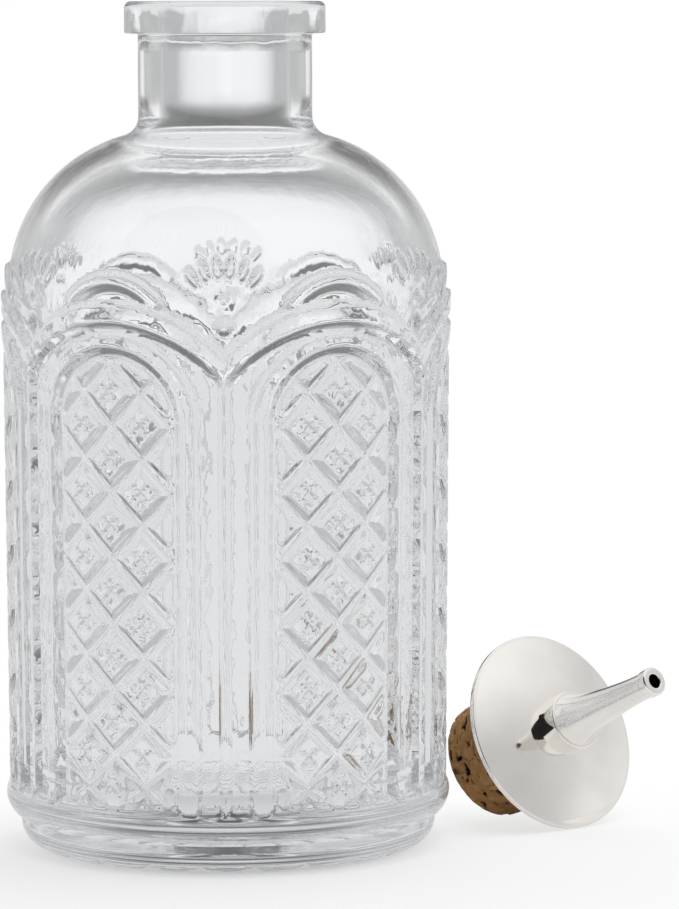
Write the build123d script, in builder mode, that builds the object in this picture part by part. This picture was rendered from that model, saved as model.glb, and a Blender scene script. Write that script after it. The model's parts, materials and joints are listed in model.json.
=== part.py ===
from build123d import *
from math import asin, atan2, ceil, cos, degrees, radians, sin, sqrt
import os

# A pressed-glass bitters bottle with arched diamond panels, standing beside its dasher top:
# a tapered cork, a domed metal cap disc, a pouring spout and the stem tube that joins them.
# Millimetres, +Z up, origin at the centre of the underside, the viewer's side towards -Y.

# Bottle: body, shoulder, neck and lip
total_height = 115.9
body_radius = 29.9
body_draft = 0.5
body_height = 76.8
shoulder_radius = 21.6
neck_radius = 11.95
neck_root_fillet = 2.6
lip_radius = 13.8
lip_height = 4.4
lip_rounding = 0.9
lip_undercut_chamfer = 0.4
bore_radius = 9.0
bore_edge_rounding = 0.8
bore_root_fillet = 10.0

# Bottle: walls and floor
wall = 3.0
floor_thickness = 6.5
floor_corner_radius = 9.0

# Bottle: foot and heel ring
standing_radius = 26.3
foot_radius = 28.7
foot_height = 3.2
waist_height = 3.9
heel_radius = 30.7
heel_height = 7.1
heel_top_height = 9.6

# Star pressed into the underside
star_rays = 24
star_hub_radius = 3.5
star_rim_width = 3.4
star_rim_depth = 1.1

# Panels round the body
panel_count = 6
embed = 1.0
overrun = 2.0
sector_top_angle = 50.0

# Arches over each panel
spring_height = 60.7
band_relief = 1.1
inner_band_inside = 9.0
inner_band_outside = 11.8
outer_band_crown = 76.8
outer_band_radius = 19.65
outer_band_inner_crown = 72.9
outer_band_inner_radius = 18.2
ridge_width = 1.0
ridge_top_height = 67.5

# Raised crescent above each arch
crescent_relief = 0.65
crescent_top = 80.4
crescent_width = 2.0
crescent_radius = 8.33
crescent_half_angle = 43.0

# Diamond lattice in each panel
field_half_width = 8.6
field_border = 0.3
strap_relief = 0.65
strap_width = 0.6
diamond_half = 4.42
diamond_node_height = 60.0
pocket_floor_relief = 0.06
stud_height = 0.52
side_columns = 2

# Petal fan and bead above each column
petal_count = 6
petal_length = 3.4
petal_width = 1.25
petal_relief = 0.35
petal_embed = 0.1
petal_step_angle = 14.3
fan_radius = 7.2
fan_focus_height = 73.9
bead_radius = 1.1
bead_height = 73.3
bead_sink_share = 0.45

# Dasher top: cork, cap disc, stem tube and spout
cork_length = 14.4
cork_top_radius = 9.0
cork_end_radius = 8.35
cork_end_chamfer = 0.4
disc_radius = 14.15
disc_thickness = 0.8
disc_dome = 2.5
disc_edge_chamfer = 0.15
stem_radius = 2.0
stem_bore_radius = 1.4
stem_projection = 0.8
stem_engagement = 2.6
stem_clearance = 0.02
skirt_radius = 4.2
skirt_height = 3.1
skirt_edge_chamfer = 0.2
spout_root_radius = 3.8
spout_bell_radius = 3.0
spout_bell_height = 5.8
spout_waist_radius = 2.3
spout_waist_height = 10.3
spout_throat_radius = 1.87
spout_throat_height = 15.5
spout_tip_radius = 2.0
spout_tip_height = 20.5
spout_tip_chamfer = 0.3
spout_ring_length = 1.5
spout_bore_radius = 1.0

# Where the dasher lies beside the bottle, and the way its spout points
dasher_x = 45.1
dasher_y = 10.5
dasher_heading = -50.0

panel_angle = 360 / panel_count
shoulder_centre = body_radius - shoulder_radius
lip_underside = total_height - lip_height


def heading_plane(angle):
    """Upright plane through the bottle's axis: local x points outwards at this angle, local y up."""
    out = (cos(radians(angle)), sin(radians(angle)), 0)
    normal = (sin(radians(angle)), -cos(radians(angle)), 0)
    return Plane(origin=(0, 0, 0), x_dir=out, z_dir=normal)


def ground_radius(height):
    """Radius of the body's plain surface between heel and shoulder."""
    drafted = (body_height - height) / (body_height - heel_top_height)
    return body_radius - body_draft * drafted


def root_arc(upright_radius, dome_radius, fillet_radius):
    """Centre and sweep of the fillet between an upright wall and the shoulder's dome."""
    run = upright_radius + fillet_radius - shoulder_centre
    rise = sqrt((dome_radius + fillet_radius) ** 2 - run**2)
    centre = (upright_radius + fillet_radius, body_height + rise)
    return centre, degrees(atan2(rise, run))


def relief_sector(relief):
    """One panel's share of the body's skin, from inside the wall out to the given relief."""
    with BuildPart() as sector:
        with BuildSketch(heading_plane(-panel_angle / 2)):
            with BuildLine():
                low = ground_radius(heel_height)
                inside = Line((low - embed, heel_height), (body_radius - embed, body_height))
                outside = Line((low + relief, heel_height), (body_radius + relief, body_height))
                centre = (shoulder_centre, body_height)
                dome_in = CenterArc(centre, shoulder_radius - embed, 0, sector_top_angle)
                dome_out = CenterArc(centre, shoulder_radius + relief, 0, sector_top_angle)
                Line(inside @ 0, outside @ 0)
                Line(dome_in @ 1, dome_out @ 1)
            make_face()
        revolve(axis=Axis.Z, revolution_arc=panel_angle)
    return sector.part


def arch_shape(half_width):
    """Round-headed arch from the heel to its crown."""
    with BuildSketch() as arch:
        with BuildLine():
            left = Line((-half_width, heel_height), (-half_width, spring_height))
            crown = (0, spring_height + half_width)
            head = ThreePointArc(left @ 1, crown, (half_width, spring_height))
            right = Line(head @ 1, (half_width, heel_height))
            Line(right @ 1, left @ 0)
        make_face()
    return arch.sketch


# Glass body: foot, heel ring, drafted wall, domed shoulder, neck and lip in one turned outline
neck_centre, neck_sweep = root_arc(neck_radius, shoulder_radius, neck_root_fillet)
with BuildPart() as glass_body:
    with BuildSketch(Plane.XZ):
        with BuildLine():
            Line((0, 0), (standing_radius, 0))
            TangentArc((foot_radius, foot_height), (standing_radius, 0), tangent=(0, -1))
            Line((foot_radius, foot_height), (foot_radius, waist_height))
            TangentArc((heel_radius, heel_height), (foot_radius, waist_height), tangent=(0, -1))
            heel_top = (ground_radius(heel_top_height), heel_top_height)
            TangentArc((heel_radius, heel_height), heel_top, tangent=(0, 1))
            Line(heel_top, (body_radius, body_height))
            CenterArc((shoulder_centre, body_height), shoulder_radius, 0, neck_sweep)
            CenterArc(neck_centre, neck_root_fillet, 180, neck_sweep)
            Line((neck_radius, neck_centre[1]), (neck_radius, lip_underside))
            Line((neck_radius, lip_underside), (lip_radius, lip_underside))
            Line((lip_radius, lip_underside), (lip_radius, total_height))
            Line((lip_radius, total_height), (0, total_height))
            Line((0, total_height), (0, 0))
        make_face()
    revolve(axis=Axis.Z)
    rim = glass_body.edges().filter_by_position(Axis.Z, total_height, total_height)
    fillet(rim, radius=lip_rounding)
    under_lip = glass_body.edges().filter_by_position(Axis.Z, lip_underside, lip_underside)
    chamfer(under_lip.sort_by(SortBy.LENGTH)[0], length=lip_undercut_chamfer)

# Arch bands of one panel: the round-headed inner band and the flatter outer band that meets
# its neighbours in a point over each column
with BuildPart() as arch_bands:
    add(relief_sector(band_relief))
    with BuildSketch(Plane.YZ):
        add(arch_shape(inner_band_outside))
        add(arch_shape(inner_band_inside), mode=Mode.SUBTRACT)
        with BuildSketch():
            with Locations((0, outer_band_crown - outer_band_radius)):
                Circle(outer_band_radius)
            inner_centre = outer_band_inner_crown - outer_band_inner_radius
            with Locations((0, inner_centre)):
                Circle(outer_band_inner_radius, mode=Mode.SUBTRACT)
            with Locations((0, inner_centre)):
                Rectangle(
                    outer_band_radius * 2,
                    outer_band_radius * 2,
                    align=(Align.CENTER, Align.MAX),
                    mode=Mode.SUBTRACT,
                )
    extrude(amount=body_radius + overrun, mode=Mode.INTERSECT)

# Narrow ridge down the middle of each column
with BuildPart() as column_ridge:
    add(relief_sector(band_relief))
    with BuildSketch(Plane.YZ):
        with Locations((0, heel_height)):
            Rectangle(ridge_width, ridge_top_height - heel_height, align=(Align.CENTER, Align.MIN))
    extrude(amount=body_radius + overrun, mode=Mode.INTERSECT)

# Crescent above each arch: a bowed bar with round ends
with BuildLine() as crescent_middle:
    crescent_centre = (0, crescent_top - crescent_width / 2 - crescent_radius)
    CenterArc(crescent_centre, crescent_radius, 90 - crescent_half_angle, 2 * crescent_half_angle)
with BuildPart() as crescent:
    add(relief_sector(crescent_relief))
    with BuildSketch(Plane.YZ):
        SlotArc(crescent_middle.edge(), crescent_width)
    extrude(amount=body_radius + overrun, mode=Mode.INTERSECT)

# One diamond pocket as a cutter: its floor keeps four pyramid studs standing
pocket_half = diamond_half - strap_width / sqrt(2)
stud_half = pocket_half / 2
with BuildPart() as diamond_pocket:
    with BuildSketch():
        Rectangle(pocket_half * sqrt(2), pocket_half * sqrt(2), rotation=45)
    extrude(amount=strap_relief + overrun)
    for out, up in ((stud_half, 0), (-stud_half, 0), (0, stud_half), (0, -stud_half)):
        with BuildSketch() as stud_base:
            with Locations((out, up)):
                Rectangle(stud_half * sqrt(2), stud_half * sqrt(2), rotation=45)
        loft(sections=[stud_base.sketch.face(), Vertex(out, up, stud_height)], mode=Mode.SUBTRACT)


def pocket_planes():
    """Planes tangent to the panel's ground at the centre of every diamond, facing outwards."""
    planes = []
    field_crown = spring_height + field_half_width
    for column in range(-side_columns, side_columns + 1):
        top = diamond_node_height + diamond_half * (1 + column % 2)
        rows = ceil((top - heel_height) / (2 * diamond_half))
        for row in range(rows):
            height = top - 2 * diamond_half * row
            if height - pocket_half > field_crown:
                continue
            angle = column * diamond_half / body_radius
            out = (cos(angle), sin(angle), 0)
            reach = ground_radius(height) + pocket_floor_relief
            origin = (reach * out[0], reach * out[1], height)
            planes.append(Plane(origin=origin, x_dir=(-out[1], out[0], 0), z_dir=out))
    return planes


# All pockets of one panel, trimmed to a plain border inside the arch
with BuildPart() as pockets:
    with Locations(*pocket_planes()):
        add(diamond_pocket.part)
    with BuildSketch(Plane.YZ):
        add(arch_shape(field_half_width - field_border))
    extrude(amount=body_radius + strap_relief + overrun, mode=Mode.INTERSECT)

# Lattice field of one panel: a raised arch of straps between the pockets
with BuildPart() as lattice_field:
    add(relief_sector(strap_relief))
    with BuildSketch(Plane.YZ):
        add(arch_shape(field_half_width))
    extrude(amount=body_radius + overrun, mode=Mode.INTERSECT)
    add(pockets.part, mode=Mode.SUBTRACT)

# One petal of the fan: a pointed four-sided stud
with BuildPart() as petal:
    with BuildSketch(Plane.XY.offset(-petal_embed)) as petal_base:
        half_width, half_length = petal_width / 2, petal_length / 2
        with BuildLine():
            Polyline((half_width, 0), (0, half_length), (-half_width, 0), (0, -half_length), close=True)
        make_face()
    loft(sections=[petal_base.sketch.face(), Vertex(0, 0, petal_relief)])


def petal_planes():
    """Planes tangent to the shoulder at each petal of a fan, with local y along the petal."""
    planes = []
    for place in range(petal_count):
        lean = (place - (petal_count - 1) / 2) * petal_step_angle
        height = fan_focus_height + fan_radius * cos(radians(lean))
        rise = (height - body_height) / shoulder_radius
        run = sqrt(1 - rise**2)
        reach = shoulder_centre + shoulder_radius * run
        angle = asin(fan_radius * sin(radians(lean)) / reach)
        origin = (reach * cos(angle), reach * sin(angle), height)
        out = (run * cos(angle), run * sin(angle), rise)
        tangent = Plane(origin=origin, x_dir=(-sin(angle), cos(angle), 0), z_dir=out)
        planes.append(tangent.rotated((0, 0, -lean)))
    return planes


# Petal fan over each column, its petals radiating from a focus between the arches
with BuildPart() as petal_fan:
    with Locations(*petal_planes()):
        add(petal.part)

# Round bead under each fan
with BuildPart() as bead:
    with Locations((ground_radius(bead_height) - bead_radius * bead_sink_share, 0, bead_height)):
        Sphere(bead_radius)

# One ray of the star under the foot: a V groove from a point at the hub, wider and deeper outwards
with BuildPart() as star_ray:
    with BuildSketch(Plane.YZ.offset(foot_radius)) as ray_end:
        half_width = star_rim_width / 2
        with BuildLine():
            Polyline(
                (-half_width, 0),
                (-half_width, -overrun),
                (half_width, -overrun),
                (half_width, 0),
                (0, star_rim_depth),
                close=True,
            )
        make_face()
    loft(sections=[ray_end.sketch.face(), Vertex(star_hub_radius, 0, 0)])

# Hollow of the bottle: straight bore, flared root, shoulder, wall and rounded floor corner
bore_centre, bore_sweep = root_arc(bore_radius, shoulder_radius - wall, bore_root_fillet)
with BuildPart() as hollow:
    with BuildSketch(Plane.XZ):
        with BuildLine():
            corner_radius = ground_radius(floor_thickness) - wall
            corner = (corner_radius - floor_corner_radius, floor_thickness + floor_corner_radius)
            Line((0, floor_thickness), (corner[0], floor_thickness))
            turn = CenterArc(corner, floor_corner_radius, -90, 90)
            Line(turn @ 1, (body_radius - wall, body_height))
            CenterArc((shoulder_centre, body_height), shoulder_radius - wall, 0, bore_sweep)
            CenterArc(bore_centre, bore_root_fillet, 180, bore_sweep)
            Line((bore_radius, bore_centre[1]), (bore_radius, total_height + overrun))
            Line((bore_radius, total_height + overrun), (0, total_height + overrun))
            Line((0, total_height + overrun), (0, floor_thickness))
        make_face()
    revolve(axis=Axis.Z)

# Bottle: the pressed body with its relief, star and hollow
with BuildPart() as bottle:
    add(glass_body.part)
    with PolarLocations(0, panel_count):
        add(arch_bands.part)
        add(lattice_field.part)
        add(crescent.part)
    with PolarLocations(0, panel_count, start_angle=panel_angle / 2):
        add(column_ridge.part)
        add(petal_fan.part)
        add(bead.part)
    with PolarLocations(0, star_rays, start_angle=180 / star_rays):
        add(star_ray.part, mode=Mode.SUBTRACT)
    add(hollow.part, mode=Mode.SUBTRACT)
    mouth = bottle.edges().filter_by_position(Axis.Z, total_height, total_height)
    fillet(mouth.sort_by(SortBy.LENGTH)[0], radius=bore_edge_rounding)
bottle.part.label = "bottle"

# The dasher lies on the rim of its disc and the far edge of its cork, which sets its lean
disc_crown_radius = (disc_radius**2 + disc_dome**2) / (2 * disc_dome)


def dome_height(radius):
    """Height of the disc's underside over its rim at this radius."""
    return sqrt(disc_crown_radius**2 - radius**2) - disc_crown_radius + disc_dome


cork_top = dome_height(cork_top_radius)
cork_bottom = cork_top - cork_length
dasher_lean = atan2(disc_radius - cork_end_radius, disc_edge_chamfer - cork_bottom - cork_end_chamfer)
disc_centre_height = disc_radius * cos(dasher_lean) - disc_edge_chamfer * sin(dasher_lean)
dasher_axis = (
    cos(dasher_lean) * cos(radians(dasher_heading)),
    cos(dasher_lean) * sin(radians(dasher_heading)),
    sin(dasher_lean),
)
dasher = Plane(origin=(dasher_x, dasher_y, disc_centre_height), z_dir=dasher_axis)
dasher_profile = Plane(origin=dasher.origin, x_dir=dasher.x_dir, z_dir=-dasher.y_dir)
dasher_turn = Axis(dasher.origin, dasher.z_dir)

# Cap disc: a thin domed metal sheet with a hole for the stem
outer_crown_radius = disc_crown_radius + disc_thickness
crown_centre = disc_dome - disc_crown_radius
with BuildPart() as cap_disc:
    with BuildSketch(dasher_profile):
        with BuildLine():
            hole = stem_radius + stem_clearance
            rim_top = crown_centre + sqrt(outer_crown_radius**2 - disc_radius**2)
            hole_low = (hole, dome_height(hole))
            hole_high = (hole, crown_centre + sqrt(outer_crown_radius**2 - hole**2))
            underside = disc_radius - disc_edge_chamfer
            rim_low = (underside, dome_height(underside))
            RadiusArc(hole_low, rim_low, disc_crown_radius)
            Polyline(rim_low, (disc_radius, disc_edge_chamfer), (disc_radius, rim_top))
            RadiusArc(hole_high, (disc_radius, rim_top), outer_crown_radius)
            Line(hole_high, hole_low)
        make_face()
    revolve(axis=dasher_turn)
cap_disc.part.label = "cap_disc"

# Cork stopper: tapered plug bored for the stem
with BuildPart() as cork_stopper:
    with BuildSketch(dasher_profile):
        with BuildLine():
            bored = stem_radius + stem_clearance
            Polyline(
                (bored, cork_top),
                (cork_top_radius, cork_top),
                (cork_end_radius, cork_bottom + cork_end_chamfer),
                (cork_end_radius - cork_end_chamfer, cork_bottom),
                (bored, cork_bottom),
                close=True,
            )
        make_face()
    revolve(axis=dasher_turn)
cork_stopper.part.label = "cork_stopper"


def crown_height(radius):
    """Height of the disc's top face over its rim plane at this radius."""
    return crown_centre + sqrt(outer_crown_radius**2 - radius**2)


# Pouring spout: a short skirt on the disc and a tapering nozzle, bored for the stem and the drops
spout_seat = crown_height(skirt_radius)
stem_top = spout_seat + stem_engagement
socket_radius = stem_radius + stem_clearance
with BuildPart() as pour_spout:
    with BuildSketch(dasher_profile):
        with BuildLine():
            seat = RadiusArc(
                (socket_radius, crown_height(socket_radius)),
                (skirt_radius, spout_seat),
                outer_crown_radius,
            )
            skirt_top = spout_seat + skirt_height
            tip = spout_seat + spout_tip_height
            Polyline(
                seat @ 1,
                (skirt_radius, skirt_top - skirt_edge_chamfer),
                (skirt_radius - skirt_edge_chamfer, skirt_top),
                (spout_root_radius, skirt_top),
                (spout_bell_radius, spout_seat + spout_bell_height),
                (spout_waist_radius, spout_seat + spout_waist_height),
                (spout_throat_radius, spout_seat + spout_throat_height),
                (spout_throat_radius, tip - spout_ring_length),
                (spout_tip_radius, tip - spout_ring_length),
                (spout_tip_radius, tip - spout_tip_chamfer),
                (spout_tip_radius - spout_tip_chamfer, tip),
                (spout_bore_radius, tip),
                (spout_bore_radius, stem_top),
                (socket_radius, stem_top),
                seat @ 0,
            )
        make_face()
    revolve(axis=dasher_turn)
pour_spout.part.label = "pour_spout"

# Stem tube: carries the bitters through cork and disc into the spout
stem_bottom = cork_bottom - stem_projection
with BuildPart() as stem_tube:
    with BuildSketch(dasher.offset(stem_bottom)):
        Circle(stem_radius)
        Circle(stem_bore_radius, mode=Mode.SUBTRACT)
    extrude(amount=stem_top - stem_bottom)
stem_tube.part.label = "stem_tube"

os.makedirs("parts", exist_ok=True)
for piece in (bottle, cork_stopper, cap_disc, pour_spout, stem_tube):
    export_step(piece.part, f"parts/{piece.part.label}.step")
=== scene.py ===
"""Bitters bottle of pressed glass, with its dasher top lying beside it, dressed for the camera.

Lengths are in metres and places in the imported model's frame: +Z up, the origin at the centre of
the bottle's underside and the viewer's side towards -Y.
"""

import json
import logging
from dataclasses import dataclass
from enum import Enum
from math import atan2, cos, degrees, hypot, radians, sin, sqrt, tau
from typing import Callable, Sequence

import bmesh
import bpy
import numpy as np
from mathutils import Matrix, Vector, noise


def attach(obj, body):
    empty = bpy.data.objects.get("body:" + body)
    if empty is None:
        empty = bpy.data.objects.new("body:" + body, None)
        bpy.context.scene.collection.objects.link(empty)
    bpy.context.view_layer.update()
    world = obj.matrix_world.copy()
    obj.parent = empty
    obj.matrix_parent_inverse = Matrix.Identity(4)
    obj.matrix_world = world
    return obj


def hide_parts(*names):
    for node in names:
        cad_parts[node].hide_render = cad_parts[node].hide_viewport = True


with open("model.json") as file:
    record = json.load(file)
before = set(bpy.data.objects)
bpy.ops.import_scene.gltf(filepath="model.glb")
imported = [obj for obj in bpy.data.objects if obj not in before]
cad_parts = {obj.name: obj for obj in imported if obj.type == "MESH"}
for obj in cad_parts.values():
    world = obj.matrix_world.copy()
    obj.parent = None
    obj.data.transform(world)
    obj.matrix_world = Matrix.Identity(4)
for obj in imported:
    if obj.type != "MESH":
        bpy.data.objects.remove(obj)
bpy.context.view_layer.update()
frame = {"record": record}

MM = 0.001
PHOTO_HEIGHT = 909
GLASS_BOUNCES = 32

# Distances in metres at which points are one, are merged, or are level but for rounding
SAME_POINT = 1e-7
MERGE_REACH = 1e-8
ROUNDING = 1e-9

# Sockets of a Mix node for colours, by number
MIX_SHARE = 0
MIX_FIRST = 6
MIX_SECOND = 7
MIX_RESULT = 2

log = logging.getLogger("bitters_bottle")

Point = tuple[float, float]
Reach = tuple[float, float]
Stops = tuple[tuple[float, float], ...]
Colour = tuple[float, float, float, float]


def grey(tone: float) -> Colour:
    """A plain grey of the given brightness."""
    return (tone, tone, tone, 1.0)


WHITE = grey(1.0)


def held(value: float) -> float:
    """A number kept between 0 and 1."""
    return min(max(value, 0), 1)


class Slot(Enum):
    """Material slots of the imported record."""

    GLASS = "clear_glass"
    CORK = "natural_cork"
    METAL = "polished_metal"


class Body(Enum):
    """Bodies that pieces ride on."""

    BOTTLE = "bottle"
    DASHER = "dasher"


class Mark(Enum):
    """Values that meshes carry on their points for their finishes."""

    INSIDE = "inside"
    HAZE = "haze"
    # Bore walls of the metal get painted shade, a near-black colour
    BORE_SHADE = "bore"
    PIT = "pit"


class Value:
    """A number, colour or place in a shader. Each operator, for numbers only, adds a Math node."""

    def __init__(self, tree: "Tree", socket: bpy.types.NodeSocket) -> None:
        """Wrap one output socket of a tree."""
        self.tree = tree
        self.socket = socket

    def _math(self, operation: str, *values: "Value | float") -> "Value":
        """Add a Math node.

        Args:
            operation: Name of the Math node's operation.
            values: Its inputs, in order.

        Returns:
            The node's result.
        """
        inputs = dict(enumerate(values))
        return self.tree.value("ShaderNodeMath", 0, {"operation": operation}, inputs)

    def __add__(self, other: "Value | float") -> "Value":
        """Sum."""
        return self._math("ADD", self, other)

    __radd__ = __add__

    def __sub__(self, other: "Value | float") -> "Value":
        """Difference."""
        return self._math("SUBTRACT", self, other)

    def __rsub__(self, other: float) -> "Value":
        """Difference from a number."""
        return self._math("SUBTRACT", other, self)

    def __mul__(self, other: "Value | float") -> "Value":
        """Product."""
        return self._math("MULTIPLY", self, other)

    __rmul__ = __mul__

    def between(self, low: float, high: float) -> "Value":
        """Share of the way from low to high, smoothed and held to 0 and 1.

        Args:
            low: Value that gives 0, which may be the larger one.
            high: Value that gives 1.

        Returns:
            The share.
        """
        settings = {"interpolation_type": "SMOOTHSTEP"}
        return self.tree.value("ShaderNodeMapRange", 0, settings, {0: self, 1: low, 2: high})


class Tree:
    """The node tree of a material or a world, emptied and ready to fill."""

    def __init__(self, owner: bpy.types.Material | bpy.types.World) -> None:
        """Empty a tree.

        Args:
            owner: The material or world whose tree it is.
        """
        owner.use_nodes = True
        self.tree = owner.node_tree
        self.tree.nodes.clear()

    def add(
        self,
        kind: str,
        settings: dict | None = None,
        inputs: dict | None = None,
    ) -> bpy.types.Node:
        """Add a node.

        Args:
            kind: The node's type.
            settings: Its own settings; "stops" gives a ramp's places and colours.
            inputs: A value, colour or link for each socket, by name or number.

        Returns:
            The new node.
        """
        node = self.tree.nodes.new(kind)
        for name, value in (settings or {}).items():
            if name == "stops":
                self._set_stops(node.color_ramp.elements, value)
            else:
                setattr(node, name, value)
        for name, value in (inputs or {}).items():
            if isinstance(value, Value):
                self.tree.links.new(value.socket, node.inputs[name])
            elif isinstance(value, bpy.types.NodeSocket):
                self.tree.links.new(value, node.inputs[name])
            else:
                node.inputs[name].default_value = value
        return node

    @staticmethod
    def _set_stops(elements: bpy.types.bpy_prop_collection, stops: Sequence[tuple]) -> None:
        """Give a ramp its stops.

        Args:
            elements: The ramp's elements.
            stops: Pairs of place and colour, in order.
        """
        while len(elements) < len(stops):
            elements.new(1.0)
        for element, (place, colour) in zip(elements, stops):
            element.position = place
            element.color = colour

    def value(
        self,
        kind: str,
        output: int | str,
        settings: dict | None = None,
        inputs: dict | None = None,
    ) -> Value:
        """Add a node and give one of its outputs.

        Args:
            kind: The node's type.
            output: Name or number of the output.
            settings: As in add.
            inputs: As in add.

        Returns:
            That output.
        """
        return Value(self, self.add(kind, settings, inputs).outputs[output])

    def place(self, upward: float = 1.0) -> Value:
        """Object coordinates.

        Args:
            upward: Factor along Z. Under 1 it draws a pattern out upwards.

        Returns:
            The coordinates.
        """
        coordinates = self.value("ShaderNodeTexCoord", "Object")
        inputs = {"Vector": coordinates, "Scale": (1, 1, upward)}
        return self.value("ShaderNodeMapping", 0, None, inputs)

    def axes(self, where: Value) -> list[Value]:
        """The X, Y and Z of a place or direction."""
        node = self.add("ShaderNodeSeparateXYZ", None, {0: where})
        return [Value(self, socket) for socket in node.outputs]

    def ray(self, kind: str) -> Value:
        """1 for a light ray of a kind such as Camera or Glossy, and 0 for the others."""
        return self.value("ShaderNodeLightPath", f"Is {kind} Ray")

    def mark(self, mark: Mark) -> Value:
        """A value that the mesh carries on its points."""
        return self.value("ShaderNodeAttribute", "Fac", {"attribute_name": mark.value})

    def tones(self, place: Value, stops: Stops) -> Value:
        """Grey that follows a value.

        Args:
            place: The value, from 0 to 1.
            stops: Pairs of value and tone.

        Returns:
            The grey.
        """
        ramp = [(stop, grey(tone)) for stop, tone in stops]
        return self.value("ShaderNodeValToRGB", 0, {"stops": ramp}, {0: place})

    def noise(self, where: Value, scale: float, detail: float = 2.0) -> Value:
        """Noise over an object.

        Args:
            where: Coordinates.
            scale: Waves to the metre.
            detail: Octaves.

        Returns:
            A value around one half.
        """
        inputs = {"Vector": where, "Scale": scale, "Detail": detail}
        return self.value("ShaderNodeTexNoise", "Fac", None, inputs)

    def blend(self, share: Value | float, first: Value | Colour, second: Value | Colour) -> Value:
        """Mix two colours.

        Args:
            share: How much of the second.
            first: First colour.
            second: Second colour.

        Returns:
            The mixed colour.
        """
        inputs = {MIX_SHARE: share, MIX_FIRST: first, MIX_SECOND: second}
        return self.value("ShaderNodeMix", MIX_RESULT, {"data_type": "RGBA"}, inputs)

    def bump(self, height: Value, distance: float = 1.0) -> Value:
        """Turn a height into a bent normal.

        Args:
            height: The height.
            distance: Metres that a height of 1 stands for.

        Returns:
            The normal.
        """
        inputs = {"Height": height, "Distance": distance, "Strength": 1.0}
        return self.value("ShaderNodeBump", 0, None, inputs)

    def principled(self, inputs: dict, volume: bpy.types.Node | None = None) -> None:
        """Give the material one Principled shader as its surface.

        Args:
            inputs: A value, colour or link for each of the shader's sockets.
            volume: Shader of what fills the inside, if anything.
        """
        shader = self.add("ShaderNodeBsdfPrincipled", None, inputs)
        ends = {"Surface": shader.outputs[0]}
        if volume is not None:
            ends["Volume"] = volume.outputs[0]
        self.add("ShaderNodeOutputMaterial", None, ends)


class Finish:
    """A material that is made once and put on whole pieces.

    Its name isn't that of a slot, since the frame brings a plain material for each slot.
    """

    name = "finish"

    def fill(self, tree: Tree) -> None:
        """Add the finish's nodes to its material's tree."""
        raise NotImplementedError

    def material(self) -> bpy.types.Material:
        """Make the material, or find it if it is there already."""
        found = bpy.data.materials.get(self.name)
        if found is None:
            found = bpy.data.materials.new(self.name)
            self.fill(Tree(found))
        return found


@dataclass(frozen=True)
class PressedGlass(Finish):
    """Clear pressed glass, faintly grey in depth and a little uneven from the mould."""

    name: str = "pressed_glass"
    tint: Colour = (0.985, 0.99, 0.995, 1.0)
    depth_tint: Colour = (0.5, 0.53, 0.56, 1.0)
    depth_density: float = 9.0
    index: float = 1.5
    ripple_scale: float = 140.0
    ripple_upward: float = 0.4
    ripple_depth: float = 0.03 * MM
    chill_scale: float = 900.0
    chill_upward: float = 0.3
    chill_depth: float = 0.004 * MM
    wave_scale: float = 300.0
    wave_upward: float = 0.7
    wave_depth: float = 0.12 * MM
    haze_roughness: float = 0.08

    def fill(self, tree: Tree) -> None:
        """Add clear glass with two scales of unevenness, waves inside and a hazy heel.

        Args:
            tree: The material's tree.
        """
        ripple = tree.noise(tree.place(self.ripple_upward), self.ripple_scale)
        chill = tree.noise(tree.place(self.chill_upward), self.chill_scale)
        wave = tree.noise(tree.place(self.wave_upward), self.wave_scale)
        height = ripple * self.ripple_depth + chill * self.chill_depth
        height = height + wave * tree.mark(Mark.INSIDE) * self.wave_depth
        glass = {
            "Base Color": self.tint,
            "Roughness": tree.mark(Mark.HAZE) * self.haze_roughness,
            "IOR": self.index,
            "Transmission Weight": 1.0,
            "Normal": tree.bump(height),
        }
        depth = {"Color": self.depth_tint, "Density": self.depth_density}
        tree.principled(glass, tree.add("ShaderNodeVolumeAbsorption", None, depth))


@dataclass(frozen=True)
class PolishedMetal(Finish):
    """Bright plated metal with a soft warm cast and faint polishing lines."""

    name: str = "bright_plating"
    colour: Colour = (0.9, 0.875, 0.84, 1.0)
    haze: Colour = (0.85, 0.825, 0.79, 1.0)
    # Near-black painted shade for the inside of the bores
    painted_bore_shade: Colour = (0.02, 0.018, 0.016, 1.0)
    roughness: float = 0.05
    haze_roughness: float = 0.03
    cloud_scale: float = 160.0
    cloud_detail: float = 3.0
    cloud_reach: Reach = (0.35, 0.7)
    line_scale: float = 2500.0
    line_upward: float = 0.2
    line_depth: float = 0.00015 * MM

    def fill(self, tree: Tree) -> None:
        """Add metal with clouded gloss, fine lines and a dull bore.

        Args:
            Add metal with clouded gloss, fine lines and painted shade in the bore.
        """
        cloud = tree.noise(tree.place(), self.cloud_scale, self.cloud_detail).between(*self.cloud_reach)
        lines = tree.noise(tree.place(self.line_upward), self.line_scale)
        plating = tree.blend(cloud, self.colour, self.haze)
        metal = {
            # Painted shade: the bore's wall turns near black
            "Base Color": tree.blend(tree.mark(Mark.BORE_SHADE), plating, self.painted_bore_shade),
            "Metallic": 1.0,
            "Roughness": cloud * self.haze_roughness + self.roughness,
            "Normal": tree.bump(lines * self.line_depth),
        }
        tree.principled(metal)


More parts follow.
